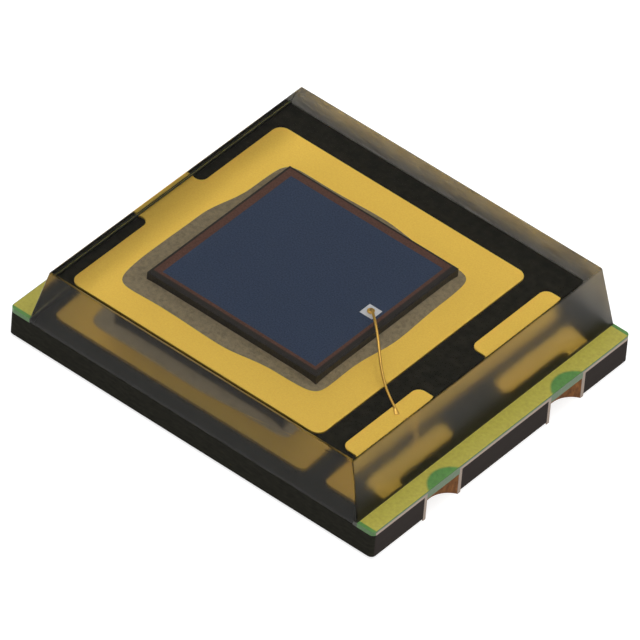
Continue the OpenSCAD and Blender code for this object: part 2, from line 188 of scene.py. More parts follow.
class PhotodiodeColours(bpy.types.PropertyGroup):
    """Colours of the finishes."""

    gold: FloatVectorProperty(
        name="Gold Plate", description="Gold plate on the conductors",
        default=(1.0, 0.66, 0.125), size=3, subtype="COLOR", min=0.0, max=1.0)
    wire: FloatVectorProperty(
        name="Wire Gold", description="Bare gold of the bond wire",
        default=(0.85, 0.52, 0.12), size=3, subtype="COLOR", min=0.0, max=1.0)
    # Partly painted shade: the dark brown of the half holes' walls is partly their plated metal and
    # partly the shade inside the holes
    hole_metal_in_shade: FloatVectorProperty(
        name="Hole Metal in Shade", description="Copper on the walls of the half holes",
        default=(0.19, 0.075, 0.02), size=3, subtype="COLOR", min=0.0, max=1.0)
    saw_cut: FloatVectorProperty(
        name="Saw Cut", description="Copper where the saw cut through it",
        default=(0.34, 0.27, 0.22), size=3, subtype="COLOR", min=0.0, max=1.0)
    laminate: FloatVectorProperty(
        name="Laminate", description="Black board",
        default=(0.02, 0.019, 0.0135), size=3, subtype="COLOR", min=0.0, max=1.0)
    film_on_gold: FloatVectorProperty(
        name="Film on Gold", description="Green film where it covers gold",
        default=(0.37, 0.33, 0.05), size=3, subtype="COLOR", min=0.0, max=1.0)
    film_alone: FloatVectorProperty(
        name="Film Alone", description="Green film where there is no gold beneath it",
        default=(0.075, 0.2, 0.045), size=3, subtype="COLOR", min=0.0, max=1.0)
    film_cut: FloatVectorProperty(
        name="Film Cut", description="Green film where the saw cut through it",
        default=(0.06, 0.13, 0.04), size=3, subtype="COLOR", min=0.0, max=1.0)
    laminate_cut: FloatVectorProperty(
        name="Laminate Cut", description="Black board where the saw cut through it",
        default=(0.036, 0.029, 0.026), size=3, subtype="COLOR", min=0.0, max=1.0)
    silver_epoxy: FloatVectorProperty(
        name="Silver Epoxy", description="Epoxy that holds the die",
        default=(0.26, 0.21, 0.125), size=3, subtype="COLOR", min=0.0, max=1.0)
    silicon: FloatVectorProperty(
        name="Silicon", description="Sawn walls and bare rim of the die",
        default=(0.03, 0.027, 0.024), size=3, subtype="COLOR", min=0.0, max=1.0)
    border: FloatVectorProperty(
        name="Oxide Border", description="Thin film round the window",
        default=(0.12, 0.055, 0.04), size=3, subtype="COLOR", min=0.0, max=1.0)
    window: FloatVectorProperty(
        name="Window", description="Antireflection coating of the window",
        default=(0.04, 0.062, 0.117), size=3, subtype="COLOR", min=0.0, max=1.0)
    bond_pad: FloatVectorProperty(
        name="Bond Pad", description="Aluminium of the bond pad",
        default=(0.72, 0.75, 0.8), size=3, subtype="COLOR", min=0.0, max=1.0)
    clear_epoxy: FloatVectorProperty(
        name="Clear Epoxy", description="Tint of the clear block",
        default=(1.0, 0.985, 0.95), size=3, subtype="COLOR", min=0.0, max=1.0)
    # Painted shade: a dark tint on the block's long sides that stands for the shade on them; the epoxy's
    # own tint is the clear one above
    shaded_side: FloatVectorProperty(
        name="Shaded Side", description="Tint of the block's two long sides",
        default=(0.36, 0.34, 0.29), size=3, subtype="COLOR", min=0.0, max=1.0)
    film_lap: FloatVectorProperty(
        name="Film Lap", description="Green film where the clear block covers it",
        default=(0.02, 0.02, 0.01), size=3, subtype="COLOR", min=0.0, max=1.0)


class PhotodiodeStage(bpy.types.PropertyGroup):
    """Camera, lights and backdrop."""

    azimuth: FloatProperty(
        name="Azimuth", description="Bearing of the camera from the front, towards the anode end",
        default=math.radians(36.638), subtype="ANGLE")
    elevation: FloatProperty(
        name="Elevation", description="Height of the camera above the horizon",
        default=math.radians(42.325), subtype="ANGLE")
    roll: FloatProperty(
        name="Roll", description="Turn of the camera about its own axis",
        default=math.radians(4.996), subtype="ANGLE")
    distance: FloatProperty(
        name="Distance", description="Distance of the camera from the part",
        default=122.35 * MM, subtype="DISTANCE", unit="LENGTH")
    offset: FloatVectorProperty(
        name="Offset", description="Sideways and upward shift of the camera's place",
        default=(0.0169 * MM, 0.2905 * MM), size=2, subtype="XYZ", unit="LENGTH")
    lens: FloatProperty(
        name="Lens", description="Focal length in millimetres on a 36 mm sensor",
        default=651.83, min=1.0)
    floor_radius: FloatProperty(
        name="Floor Radius", description="Radius of the flat floor",
        default=0.13, subtype="DISTANCE", unit="LENGTH")
    cove_radius: FloatProperty(
        name="Cove Radius", description="Radius of the curve from the floor up to the backdrop",
        default=0.04, subtype="DISTANCE", unit="LENGTH")
    floor_colour: FloatVectorProperty(
        name="Floor", description="Pale floor and backdrop",
        default=(0.45, 0.45, 0.45), size=3, subtype="COLOR", min=0.0, max=1.0)
    floor_glow: FloatProperty(
        name="Floor Glow", description="White that the floor adds where it is seen or mirrored",
        default=0.75, min=0.0, max=1.0)
    sky: FloatProperty(
        name="Sky", description="Strength of the even light all round",
        default=0.3, min=0.0)
    top_light: FloatProperty(
        name="Top Light", description="Power of the soft light overhead, in watts",
        default=0.6, min=0.0)
    side_light: FloatProperty(
        name="Side Light", description="Power of the soft light beyond the anode end, in watts",
        default=0.25, min=0.0)


# Meshes

def add_mesh(name, points, faces, material, smooth=True):
    """Makes an object of an array of points and lists of faces."""
    mesh = bpy.data.meshes.new(name)
    mesh.from_pydata(points.tolist(), [], faces)
    mesh.polygons.foreach_set("use_smooth", np.full(len(mesh.polygons), smooth))
    mesh.materials.append(material)
    mesh.update()
    made = bpy.data.objects.new(name, mesh)
    bpy.context.scene.collection.objects.link(made)
    return made


def add_piece(name, points, faces, material, node, smooth=True):
    """Makes a piece of the part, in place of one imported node."""
    piece = add_mesh(name, points, faces, material, smooth)
    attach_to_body(piece, "root")
    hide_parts(node)
    return piece


def ring_quads(rings, sides):
    """Quads between neighbouring rings of points. Each ring is closed."""
    ring = np.arange(rings - 1)[:, None]
    side = np.arange(sides)[None, :]
    next_side = (side + 1) % sides
    quads = np.stack([
        ring * sides + side,
        ring * sides + next_side,
        (ring + 1) * sides + next_side,
        (ring + 1) * sides + side,
    ], axis=-1)
    return quads.reshape(-1, 4).tolist()


def ring_caps(rings, sides):
    """Two faces that close the first and the last ring."""
    first = list(range(sides))[::-1]
    last = list(range((rings - 1) * sides, rings * sides))
    return [first, last]


def block_outline(block):
    """Outline of the clear block in XZ, from the anode wall's foot round to the cathode wall's foot.

    A straight foot in the film, a wall that leans in by the draft, an arc of the top radius that is
    tangent to both the wall and the top, and the same mirrored.
    """
    arc_steps = 10
    lean = block.end_draft
    radius = block.top_radius
    foot_x = BLOCK_HALF
    foot_z = CORE_HIGH[2] - block.seat_depth
    film_top = FILM_HIGH[2]
    round_z = BLOCK_HIGH[2] - radius
    wall_reach = foot_x * math.cos(lean) + film_top * math.sin(lean)
    round_x = (wall_reach - radius - round_z * math.sin(lean)) / math.cos(lean)
    turn = np.linspace(lean, math.pi / 2, arc_steps + 1)
    half = np.concatenate([
        [[foot_x, foot_z], [foot_x, film_top]],
        np.stack([round_x + radius * np.cos(turn), round_z + radius * np.sin(turn)], axis=1),
    ])
    return np.concatenate([half, half[::-1] * [-1, 1]]) + [BLOCK_X, 0]


def inward_mitres(outline):
    """Steps inwards at the corners of a convex outline that runs anticlockwise.

    Each step offsets both sides of its corner by 1. It is the sum of their inward normals, divided by 1
    plus the dot product of those normals.
    """
    along = np.roll(outline, -1, axis=0) - outline
    along /= np.linalg.norm(along, axis=1, keepdims=True)
    after = np.stack([-along[:, 1], along[:, 0]], axis=1)
    before = np.roll(after, 1, axis=0)
    return (after + before) / (1 + np.sum(after * before, axis=1, keepdims=True))


def block_surface(block):
    """The outline carried along Y between the two long sides, with quarter circles at their edges.

    A side is upright up to the film's top and leans in by the side draft above it. At the angle a of the
    quarter the outline shrinks by radius * (1 - sin a) and lies radius * (1 - cos a) inside the side.
    """
    quarter_steps = 4
    outline = block_outline(block)
    mitres = inward_mitres(outline)
    quarter = np.linspace(0, math.pi / 2, quarter_steps + 1)
    shrink = block.side_radius * (1 - np.sin(quarter))
    inset = block.side_inset + block.side_radius * (1 - np.cos(quarter))
    flat = outline[None] + shrink[:, None, None] * mitres[None]
    lean = np.maximum(outline[:, 1] - FILM_HIGH[2], 0) * math.tan(block.side_draft)
    reach = BLOCK_HIGH[1] - inset[:, None] - lean[None]
    flat = np.concatenate([flat, flat[::-1]])
    reach = np.concatenate([-reach, reach[::-1]])
    points = np.stack([flat[:, :, 0], reach, flat[:, :, 1]], axis=-1)
    rings, sides = reach.shape
    faces = ring_quads(rings, sides)
    for cap in ring_caps(rings, sides):
        faces.append(cap[1:-1])
        faces.append([cap[0], cap[1], cap[-2], cap[-1]])
    return points.reshape(-1, 3), [face[::-1] for face in faces]


def store_haze(mesh, block):
    """Stores for each face its roughness and its share of the painted shade.

    A face takes both from the wall that it faces, the more the further its normal points that way, and
    is polished and clear otherwise. The painted shade is a dark tint that stands for the shade on the
    long sides; the end walls get a share of it. The rounded top edges of the long sides have their own
    roughness and all of the painted shade.
    """
    wall_start = 0.3
    wall_range = 0.5
    edge_outward = 0.15
    edge_upward = 0.25
    normals = np.zeros(len(mesh.polygons) * 3, np.float32)
    mesh.polygons.foreach_get("normal", normals)
    x, y, z = normals.reshape(-1, 3).T
    facing = np.clip((np.stack([x, -x, -y, y]) - wall_start) / wall_range, 0, 1)
    anode, cathode, front, rear = facing
    haze = (
        block.polish
        + anode * (block.anode_haze - block.polish)
        + cathode * (block.cathode_haze - block.polish)
        + front * (block.front_haze - block.polish)
        + rear * (block.rear_haze - block.polish)
    )
    # Painted shade: full dark tint on the long sides, a share of it on the end walls
    side_shade = front + rear + block.end_shade * (anode + cathode)
    rounded = (np.abs(y) > edge_outward) & (z > edge_upward)
    haze[rounded] = block.edge_haze
    side_shade[rounded] = 1
    for name, values in (("haze", haze), ("side_shade", side_shade)):
        attribute = mesh.attributes.new(name, "FLOAT", "FACE")
        attribute.data.foreach_set("value", values.astype(np.float32))


def cubic(a, b, c, d, t):
    """Cubic curve from a to d with the handles b and c."""
    return (1 - t) ** 3 * a + 3 * (1 - t) ** 2 * t * b + 3 * (1 - t) * t ** 2 * c + t ** 3 * d


def wire_surface(wire):
    """Ball, loop and stitch as one tube.

    The ball is a turned profile, a rounded curve about its belly. The loop is a cubic curve that rises
    from the ball and comes down to the finger, with a sideways bow of sway * sin(pi * share ** 2). The
    stitch is a tube that is pressed down, widens along part of a sine wave and thins evenly.
    """
    ball_rings = 12
    loop_rings = 70
    stitch_rings = 10
    # Shares of the ball's height: its end, its belly and how far the curve reaches from there
    ball_end = 0.97
    belly = 0.45
    belly_reach = 0.62
    roundness = 3
    # Shares of the loop's span at its two handles
    lift_reach = 0.08
    fall_reach = 0.6
    # Shares of the stitch's length, width and thickness, and of half a wave
    press_end = 0.4
    widening = 0.9
    wave_part = 0.62
    thinning = 0.55
    sunk = 0.001 * MM

    radius = wire.diameter / 2
    start = (PAD_LOW + PAD_HIGH) / 2
    pad_top = PAD_HIGH[2]
    finger_top = FOIL_HIGH[2]
    stitch = np.array(wire.stitch)
    reach = stitch - start[:2]
    span = np.linalg.norm(reach) - wire.stitch_length / 2
    ahead = np.array([*(reach / np.linalg.norm(reach)), 0.0])
    aside = np.array([-ahead[1], ahead[0], 0.0])
    ball_top = pad_top + wire.ball_height
    stitch_half = wire.diameter / 3
    landing = finger_top + stitch_half

    rise = np.linspace(0, ball_end, ball_rings)
    bulge = (1 - np.abs((rise - belly) / belly_reach) ** roundness) ** (1 / roundness)
    ball = np.stack([
        np.full_like(rise, start[0]),
        np.full_like(rise, start[1]),
        pad_top + rise * wire.ball_height,
    ], axis=1)
    ball_radii = wire.ball_diameter / 2 * bulge

    t = np.linspace(0, 1, loop_rings)
    out = cubic(0, lift_reach, fall_reach, 1, t) * span
    height = cubic(ball_top, ball_top + wire.loop_rise, ball_top + wire.loop_shoulder, landing, t)
    bow = wire.sway * np.sin(math.pi * (out / span) ** 2)
    loop = np.array([start[0], start[1], 0]) + out[:, None] * ahead - bow[:, None] * aside
    loop[:, 2] = height
    loop_radii = np.full_like(t, radius)

    share = np.linspace(1 / stitch_rings, 1, stitch_rings)
    tail = loop[-1] + share[:, None] * wire.stitch_length * ahead
    tail[:, 2] -= np.minimum(share / press_end, 1) * stitch_half / 2
    tail_across = radius * (1 + widening * np.sin(math.pi * wave_part * share))
    tail_up = stitch_half * (1 - thinning * share)

    path = np.concatenate([ball, loop, tail])
    across = np.concatenate([ball_radii, loop_radii, tail_across])
    upward = np.concatenate([ball_radii, loop_radii, tail_up])
    along = np.gradient(path, axis=0)
    along[:len(ball)] = (0, 0, 1)
    along[-len(tail):] = ahead
    along /= np.linalg.norm(along, axis=1, keepdims=True)
    raised = np.cross(along, aside)
    turn = np.linspace(0, 2 * math.pi, wire.sides, endpoint=False)
    points = (
        path[:, None]
        + across[:, None, None] * np.cos(turn)[None, :, None] * aside
        + upward[:, None, None] * np.sin(turn)[None, :, None] * raised[:, None]
    )
    points[..., 2] = np.maximum(points[..., 2], finger_top - sunk)
    rings, sides = points.shape[:2]
    return points.reshape(-1, 3), ring_quads(rings, sides) + ring_caps(rings, sides)


def attach_surface(attach):
    """Epoxy under the die and round it, whose section runs from its foot up to the die's wall.

    At one bearing the outline is a rounded square, the die's half size plus a share of the local width.
    That width is the spread times a share that is eased by a half cosine from one step to the next.
    The height over the share s is climb * (0.4 * sqrt(1 - s) + 0.6 * (1 - s) ** 2), a round foot that
    turns into a hollow fillet. Inside the die's wall it drops to the seat under the die.
    """
    bearings = 360
    section_points = 16
    squareness = 16
    round_part = 0.4
    hollow_part = 0.6
    tuck = -0.1
    sunk = 0.003 * MM
    bearing = np.linspace(0, 2 * math.pi, bearings, endpoint=False)
    middle = (DIE_LOW + DIE_HIGH) / 2
    half = (DIE_HIGH[0] - DIE_LOW[0]) / 2
    shares = np.array(attach.shares)
    place = bearing / (2 * math.pi) * len(shares)
    step = np.floor(place).astype(int)
    before = shares[step % len(shares)]
    after = shares[(step + 1) % len(shares)]
    ease = (1 - np.cos(math.pi * (place - step))) / 2
    width = attach.spread * (before + (after - before) * ease)
    square_x = np.abs(np.cos(bearing)) ** squareness
    square_y = np.abs(np.sin(bearing)) ** squareness
    square_up = (square_x + square_y) ** (-1 / squareness)
    share = 1 - np.linspace(0, 1, section_points) ** 2
    height = attach.climb * (round_part * np.sqrt(1 - share) + hollow_part * (1 - share) ** 2)
    share = np.concatenate([[1.0], share, [tuck, tuck]])
    height = np.concatenate([[-sunk], height, [attach.climb, DIE_LOW[2] - FOIL_HIGH[2]]])
    reach = half + share[:, None] * width[None]
    points = np.stack([
        middle[0] + reach * square_up * np.cos(bearing),
        middle[1] + reach * square_up * np.sin(bearing),
        np.broadcast_to(FOIL_HIGH[2] + height[:, None], reach.shape),
    ], axis=-1)
    return points.reshape(-1, 3), ring_quads(*reach.shape) + ring_caps(*reach.shape)


# Shader nodes

def feed(links, socket, value):
    """Links a socket to another one, or sets it to a plain value."""
    if isinstance(value, bpy.types.NodeSocket):
        links.new(value, socket)
    else:
        socket.default_value = value


def add_math(nodes, links, operation, *values, kind="ShaderNodeMath", result="Value"):
    """The result of a Math node that is fed sockets or numbers."""
    node = nodes.new(kind)
    node.operation = operation
    for socket, value in zip(node.inputs, values):
        feed(links, socket, value)
    return node.outputs[result]


def add_vector_math(nodes, links, operation, *values):
    """The result of a Vector Math node that is fed sockets or vectors."""
    result = "Value" if operation == "LENGTH" else "Vector"
    return add_math(nodes, links, operation, *values, kind="ShaderNodeVectorMath", result=result)


def add_ramp(nodes, links, value, start, end, low=0.0, high=1.0):
    """A value that runs from low to high while another one runs from start to end."""
    ramp = nodes.new("ShaderNodeMapRange")
    feed(links, ramp.inputs["Value"], value)
    feed(links, ramp.inputs["From Min"], start)
    feed(links, ramp.inputs["From Max"], end)
    feed(links, ramp.inputs["To Min"], low)
    feed(links, ramp.inputs["To Max"], high)
    return ramp.outputs["Result"]


def add_blend(nodes, links, mask, first, second):
    """The first colour where a mask is 0 and the second where it is 1."""
    blend = nodes.new("ShaderNodeMix")
    blend.data_type = "RGBA"
    feed(links, blend.inputs["Factor"], mask)
    feed(links, blend.inputs["A"], first)
    feed(links, blend.inputs["B"], second)
    return blend.outputs["Result"]


def add_axes(nodes, links):
    """Object coordinates, one socket for each axis."""
    place = nodes.new("ShaderNodeTexCoord")
    axes = nodes.new("ShaderNodeSeparateXYZ")
    links.new(place.outputs["Object"], axes.inputs["Vector"])
    return axes.outputs


# Shared shader groups

def new_group(name, inputs, outputs):
    """An empty shader group with named sockets, and its input and output nodes."""
    group = bpy.data.node_groups.new(name, "ShaderNodeTree")
    for label, kind, default in inputs:
        socket = group.interface.new_socket(label, in_out="INPUT", socket_type=kind)
        socket.default_value = default
    for label, kind in outputs:
        group.interface.new_socket(label, in_out="OUTPUT", socket_type=kind)
    return group, group.nodes.new("NodeGroupInput"), group.nodes.new("NodeGroupOutput")


def grain_group():
    """Cloudy grain on object coordinates: a colour between two colours, and a height."""
    name = "Surface Grain"
    if name in bpy.data.node_groups:
        return bpy.data.node_groups[name]
    group, source, result = new_group(
        name,
        [("Low", "NodeSocketColor", BLACK), ("High", "NodeSocketColor", WHITE),
         ("Scale", "NodeSocketFloat", 20000.0), ("Stretch", "NodeSocketVector", (1, 1, 1))],
        [("Colour", "NodeSocketColor"), ("Height", "NodeSocketFloat")])
    nodes, links = group.nodes, group.links
    place = nodes.new("ShaderNodeTexCoord")
    stretched = add_vector_math(
        nodes, links, "MULTIPLY", place.outputs["Object"], source.outputs["Stretch"])
    noise = nodes.new("ShaderNodeTexNoise")
    noise.inputs["Detail"].default_value = 4.0
    noise.inputs["Roughness"].default_value = 0.6
    links.new(stretched, noise.inputs["Vector"])
    links.new(source.outputs["Scale"], noise.inputs["Scale"])
    height = add_ramp(nodes, links, noise.outputs["Fac"], start=0.33, end=0.67)
    colour = add_blend(nodes, links, height, source.outputs["Low"], source.outputs["High"])
    links.new(colour, result.inputs["Colour"])
    links.new(height, result.inputs["Height"])
    return group


def fleck_group():
    """Scattered round flecks on object coordinates, as a mask."""
    name = "Flecks"
    if name in bpy.data.node_groups:
        return bpy.data.node_groups[name]
    group, source, result = new_group(
        name,
        [("Scale", "NodeSocketFloat", 20000.0), ("Size", "NodeSocketFloat", 0.3)],
        [("Mask", "NodeSocketFloat")])
    nodes, links = group.nodes, group.links
    place = nodes.new("ShaderNodeTexCoord")
    cells = nodes.new("ShaderNodeTexVoronoi")
    links.new(place.outputs["Object"], cells.inputs["Vector"])
    links.new(source.outputs["Scale"], cells.inputs["Scale"])
    size = source.outputs["Size"]
    mask = add_ramp(nodes, links, cells.outputs["Distance"], start=0.0, end=size, low=1.0, high=0.0)
    links.new(mask, result.inputs["Mask"])
    return group


def sawn_group():
    """The faces that the saw cut at the two ends of the board, as a mask on object coordinates."""
    name = "Sawn End"
    if name in bpy.data.node_groups:
        return bpy.data.node_groups[name]
    cut_depth = 0.005 * MM
    group, _, result = new_group(name, [], [("Mask", "NodeSocketFloat")])
    nodes, links = group.nodes, group.links
    from_middle = add_math(nodes, links, "ABSOLUTE", add_axes(nodes, links)["X"])
    cut = add_math(nodes, links, "GREATER_THAN", from_middle, CORE_HIGH[0] - cut_depth)
    links.new(cut, result.inputs["Mask"])
    return group


# Materials

def new_material(name):
    """A material with one Principled shader: the material, its nodes, its links and that shader."""
    material = bpy.data.materials.new(name)
    material.use_nodes = True
    nodes = material.node_tree.nodes
    return material, nodes, material.node_tree.links, nodes["Principled BSDF"]


def shade(colour, factor):
    """A colour made lighter or darker, with full alpha."""
    return (*[min(channel * factor, 1.0) for channel in colour], 1.0)


def add_grain(nodes, low, high, scale, stretch=(1, 1, 1)):
    """The shared grain with its own colours, scale per metre and stretch."""
    grain = nodes.new("ShaderNodeGroup")
    grain.node_tree = grain_group()
    grain.inputs["Low"].default_value = low
    grain.inputs["High"].default_value = high
    grain.inputs["Scale"].default_value = scale
    grain.inputs["Stretch"].default_value = stretch
    return grain


def add_flecks(nodes, scale, size):
    """The shared flecks with their own scale per metre and size."""
    flecks = nodes.new("ShaderNodeGroup")
    flecks.node_tree = fleck_group()
    flecks.inputs["Scale"].default_value = scale
    flecks.inputs["Size"].default_value = size
    return flecks


def add_bump(nodes, links, shader, height, depth):
    """Relief of the given depth in metres from a height between 0 and 1."""
    bump = nodes.new("ShaderNodeBump")
    bump.inputs["Strength"].default_value = 1.0
    bump.inputs["Distance"].default_value = depth
    links.new(height, bump.inputs["Height"])
    links.new(bump.outputs["Normal"], shader.inputs["Normal"])


def grained_material(
        name, colour, contrast, scale, depth, metallic, roughness, stretch=(1, 1, 1), glare=0.5):
    """A finish with a cloudy colour and a fine relief."""
    material, nodes, links, shader = new_material(name)
    shader.inputs["Metallic"].default_value = metallic
    shader.inputs["Roughness"].default_value = roughness
    shader.inputs["Specular IOR Level"].default_value = glare
    grain = add_grain(nodes, shade(colour, 1 - contrast), shade(colour, 1 + contrast), scale, stretch)
    links.new(grain.outputs["Colour"], shader.inputs["Base Color"])
    add_bump(nodes, links, shader, grain.outputs["Height"], depth)
    return material


def repaint(material, mask, colour):
    """Puts a second colour on a material where a mask is 1."""
    nodes, links = material.node_tree.nodes, material.node_tree.links
    paint = nodes["Principled BSDF"].inputs["Base Color"]
    mixed = add_blend(nodes, links, mask, paint.links[0].from_socket, (*colour, 1.0))
    links.new(mixed, paint)


def show_saw_cut(material, colour):
    """Gives a layer of the board its bare colour on the sawn ends."""
    cut = material.node_tree.nodes.new("ShaderNodeGroup")
    cut.node_tree = sawn_group()
    repaint(material, cut.outputs["Mask"], colour)


def clear_epoxy_material(block, colours):
    """Clear epoxy: polished on top, with a patchy haze of its own strength on each wall, and painted
    shade as a dark tint on the long sides.
    """
    material, nodes, links, shader = new_material("clear_epoxy")
    shader.inputs["IOR"].default_value = 1.53
    shader.inputs["Transmission Weight"].default_value = 1.0
    shader.inputs["Specular Tint"].default_value = (block.glare, block.glare, block.glare, 1.0)
    # Painted shade: the stored share blends the clear tint towards the dark side tint
    side_shade = nodes.new("ShaderNodeAttribute")
    side_shade.attribute_name = "side_shade"
    clear = (*colours.clear_epoxy, 1.0)
    shaded = (*colours.shaded_side, 1.0)
    tint = add_blend(nodes, links, side_shade.outputs["Fac"], clear, shaded)
    links.new(tint, shader.inputs["Base Color"])
    haze = nodes.new("ShaderNodeAttribute")
    haze.attribute_name = "haze"
    marks = add_grain(nodes, BLACK, WHITE, scale=12000.0, stretch=(0.5, 0.5, 1))
    patches = add_ramp(nodes, links, marks.outputs["Height"], start=0.0, end=1.0, low=0.88, high=1.12)
    rough = add_math(nodes, links, "MULTIPLY", haze.outputs["Fac"], patches)
    links.new(rough, shader.inputs["Roughness"])
    return material


def film_material(colours):
    """Thin green film: yellow-green over gold, green over the half holes and at the board's margins."""
    plating = 0.04 * MM
    tent_edge = HOLE_RADIUS - plating
    tent_blur = 0.03 * MM
    margin_edge = FOIL_HIGH[1]
    margin_blur = 0.01 * MM
    foot_gap = 0.002 * MM
    material, nodes, links, shader = new_material("resist_film")
    shader.inputs["Roughness"].default_value = 0.3
    on_gold = add_grain(
        nodes, shade(colours.film_on_gold, 0.9), shade(colours.film_on_gold, 1.1), scale=25000.0)
    alone = add_grain(
        nodes, shade(colours.film_alone, 0.85), shade(colours.film_alone, 1.15), scale=25000.0)
    place = nodes.new("ShaderNodeTexCoord")
    axes = add_axes(nodes, links)

    # Distance from the nearest half hole, with the four of them folded onto one
    centred = add_vector_math(nodes, links, "SUBTRACT", place.outputs["Object"], (0, PATTERN_Y, 0))
    folded = add_vector_math(nodes, links, "ABSOLUTE", centred)
    from_hole = add_vector_math(nodes, links, "SUBTRACT", folded, (HOLE_X, HOLE_Y, 0))
    level = add_vector_math(nodes, links, "MULTIPLY", from_hole, (1, 1, 0))
    radius = add_vector_math(nodes, links, "LENGTH", level)

    tent = add_ramp(nodes, links, radius, start=tent_edge - tent_blur, end=tent_edge, low=1.0, high=0.0)
    across = add_math(nodes, links, "ABSOLUTE", axes["Y"])
    margin = add_ramp(nodes, links, across, start=margin_edge - margin_blur, end=margin_edge)
    bare = add_math(nodes, links, "MAXIMUM", tent, margin)
    colour = add_blend(nodes, links, bare, on_gold.outputs["Colour"], alone.outputs["Colour"])
    links.new(colour, shader.inputs["Base Color"])
    add_bump(nodes, links, shader, on_gold.outputs["Height"], depth=0.001 * MM)
    show_saw_cut(material, colours.film_cut)

    from_block = add_math(nodes, links, "SUBTRACT", axes["X"], BLOCK_X)
    outward = add_math(nodes, links, "ABSOLUTE", from_block)
    covered = add_math(nodes, links, "LESS_THAN", outward, BLOCK_HALF - foot_gap)
    repaint(material, covered, colours.film_lap)
    return material


def silver_epoxy_material(colours):
    """Grey epoxy with bright silver flakes in it."""
    material, nodes, links, shader = new_material("silver_epoxy")
    shader.inputs["Roughness"].default_value = 0.6
    grain = add_grain(
        nodes, shade(colours.silver_epoxy, 0.75), shade(colours.silver_epoxy, 1.2), scale=18000.0)
    flakes = add_flecks(nodes, scale=90000.0, size=0.35)
    bright = shade(colours.silver_epoxy, 1.6)
    colour = add_blend(nodes, links, flakes.outputs["Mask"], grain.outputs["Colour"], bright)
    links.new(colour, shader.inputs["Base Color"])
    add_bump(nodes, links, shader, grain.outputs["Height"], depth=0.004 * MM)
    return material


def border_material(colours):
    """Oxide border: brown on the cathode and rear sides, dark towards its edge on the other two, which is
    partly the die's bare rim and partly painted shade.
    """
    material = grained_material(
        "border_oxide", colours.border, contrast=0.2, scale=50000.0, depth=0.0003 * MM,
        metallic=0.0, roughness=0.5, glare=0.2)
    nodes, links = material.node_tree.nodes, material.node_tree.links
    axes = add_axes(nodes, links)
    width = BORDER_HIGH[0] - WINDOW_HIGH[0]
    dark_start = 0.35 * width
    dark_end = 0.55 * width
    anode_side = add_ramp(
        nodes, links, axes["X"], start=WINDOW_HIGH[0] + dark_start, end=WINDOW_HIGH[0] + dark_end)
    front_side = add_ramp(
        nodes, links, axes["Y"], start=WINDOW_LOW[1] - dark_start, end=WINDOW_LOW[1] - dark_end)
    # Partly painted shade: on the anode and front sides the border's edge gets the silicon colour, for
    # the bare rim and the shade beside it
    rim_and_shade = add_math(nodes, links, "MAXIMUM", anode_side, front_side)
    repaint(material, rim_and_shade, colours.silicon)
    return material


def dress(material, *names):
    """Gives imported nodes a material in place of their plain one."""
    for name in names:
        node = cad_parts[name]
        for material_slot in node.material_slots:
            material_slot.material = material


# Operators

class BoardOperator(bpy.types.Operator):
    """Gives the board its black laminate."""

    bl_idname = "photodiode.board"
    bl_label = "Board"

    def execute(self, context):
        colours = context.scene.photodiode_colours
        laminate = grained_material(
            "laminate", colours.laminate, contrast=0.3, scale=30000.0, depth=0.0004 * MM,
            metallic=0.0, roughness=0.8, stretch=(0.3, 0.3, 1), glare=0.08)
        show_saw_cut(laminate, colours.laminate_cut)
        dress(laminate, "board_core")
        return {"FINISHED"}


class ConductorsOperator(bpy.types.Operator):
    """Gives the conductors, the half holes and the solder pads their metal."""

    bl_idname = "photodiode.conductors"
    bl_label = "Conductors"

    def execute(self, context):
        colours = context.scene.photodiode_colours
        gold = grained_material(
            "gold_plate", colours.gold, contrast=0.06, scale=60000.0, depth=0.0005 * MM,
            metallic=1.0, roughness=0.5)
        # Half holes' plated walls, darkened brown: partly their metal, partly painted shade in the holes
        hole_metal_in_shade = grained_material(
            "hole_copper", colours.hole_metal_in_shade, contrast=0.4, scale=25000.0, depth=0.002 * MM,
            metallic=0.6, roughness=0.55, stretch=(1, 1, 0.4))
        solder = grained_material(
            "solder_gold", colours.gold, contrast=0.08, scale=40000.0, depth=0.0005 * MM,
            metallic=1.0, roughness=0.4)
        show_saw_cut(gold, colours.saw_cut)
        show_saw_cut(hole_metal_in_shade, colours.saw_cut)
        dress(gold, "cathode_foil", "anode_foil")
        dress(solder, "cathode_solder_pad", "anode_solder_pad")
        dress(hole_metal_in_shade, "cathode_plating_front", "cathode_plating_rear",
              "anode_plating_front", "anode_plating_rear")
        return {"FINISHED"}


class FilmOperator(bpy.types.Operator):
    """Gives the two end films their green."""

    bl_idname = "photodiode.film"
    bl_label = "Resist Film"

    def execute(self, context):
        dress(film_material(context.scene.photodiode_colours), "cathode_film", "anode_film")
        return {"FINISHED"}


class DieOperator(bpy.types.Operator):
    """Gives the die, its border, its window and its bond pad their finish."""

    bl_idname = "photodiode.die"
    bl_label = "Die"

    def execute(self, context):
        colours = context.scene.photodiode_colours
        silicon = grained_material(
            "silicon", colours.silicon, contrast=0.3, scale=40000.0, depth=0.002 * MM,
            metallic=0.0, roughness=0.6, stretch=(1, 1, 0.3), glare=0.2)
        window = grained_material(
            "window_blue", colours.window, contrast=0.25, scale=60000.0, depth=0.0003 * MM,
            metallic=0.0, roughness=0.6, glare=0.2)
        bond_metal = grained_material(
            "bond_metal", colours.bond_pad, contrast=0.08, scale=80000.0, depth=0.0005 * MM,
            metallic=0.6, roughness=0.5)
        dress(silicon, "silicon_die")
        dress(border_material(colours), "oxide_border")
        dress(window, "window_coating")
        dress(bond_metal, "bond_pad")
        return {"FINISHED"}


